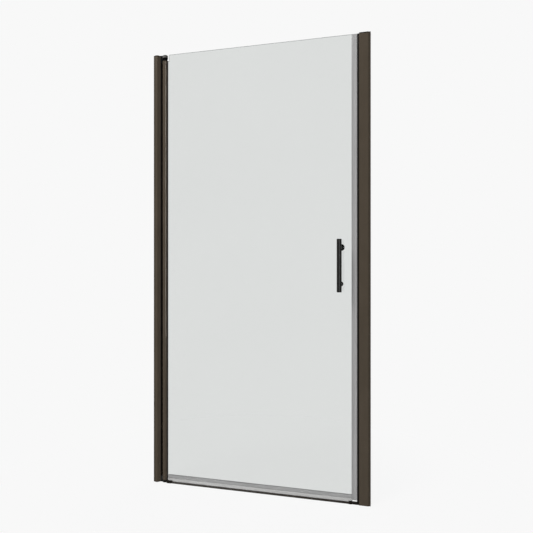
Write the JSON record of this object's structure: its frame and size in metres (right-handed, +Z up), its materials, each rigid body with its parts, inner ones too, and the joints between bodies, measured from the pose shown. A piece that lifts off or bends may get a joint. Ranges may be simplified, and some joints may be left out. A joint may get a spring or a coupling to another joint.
{
  "type": "pivot shower door",
  "caption": "Alcove shower door: a clear glass panel on a round pivot stile swings outwards between two dark bronze wall jambs, with a black bar handle, plastic seals and a low threshold.",
  "frame": {"origin": "on the floor under the glass, halfway along the doorway, at the underside of the threshold bar", "axes": "+X along the doorway from the hinge side to the strike side, -Y outwards to the handle side, +Z up"},
  "size_m": [0.9144, 0.0892, 1.8303],
  "materials": {
    "bronze_aluminium": "satin dark bronze",
    "black_metal": "matte black",
    "clear_glass": "clear",
    "grey_vinyl": "translucent grey",
    "clear_vinyl": "translucent",
    "dark_plastic": "matte",
    "black_nylon": "matte",
    "black_rubber": "matte",
    "stainless_steel": "plain",
    "magnet_rubber": "matte"
  },
  "bodies": {
    "frame": {"hinge_wall_channel": "bronze_aluminium", "hinge_jamb": "bronze_aluminium", "hinge_jamb_cap": "dark_plastic", "hinge_gasket": "black_rubber", "upper_pivot_block": "black_metal", "lower_pivot_block": "black_metal", "upper_pivot_pin": "stainless_steel", "lower_pivot_pin": "stainless_steel", "pivot_block_screws": "stainless_steel", "hinge_jamb_screws": "stainless_steel", "hinge_screw_caps": "dark_plastic", "strike_wall_channel": "bronze_aluminium", "strike_jamb": "bronze_aluminium", "strike_jamb_cap": "dark_plastic", "strike_magnet_carrier": "dark_plastic", "strike_magnet": "magnet_rubber", "strike_jamb_screws": "stainless_steel", "strike_screw_caps": "dark_plastic", "threshold": "bronze_aluminium", "threshold_end_left": "dark_plastic", "threshold_end_right": "dark_plastic"},
    "door": {"glass_panel": "clear_glass", "pivot_stile": "bronze_aluminium", "stile_gasket": "black_rubber", "upper_stile_bush": "black_nylon", "lower_stile_bush": "black_nylon", "strike_seal": "grey_vinyl", "door_magnet": "magnet_rubber", "bottom_sweep": "grey_vinyl", "handle_bar": "black_metal", "upper_handle_post": "black_metal", "lower_handle_post": "black_metal", "handle_studs": "stainless_steel", "glass_sleeves": "clear_vinyl", "handle_gaskets": "clear_vinyl", "inside_knob": "black_metal", "inside_cap": "black_metal"}
  },
  "joints": [
    {"name": "door_swing", "type": "hinge", "parent": "frame", "child": "door", "pos_m": [-0.4093, 0, 0], "axis": [0, 0, -1], "range_deg": [0, 110]}
  ]
}
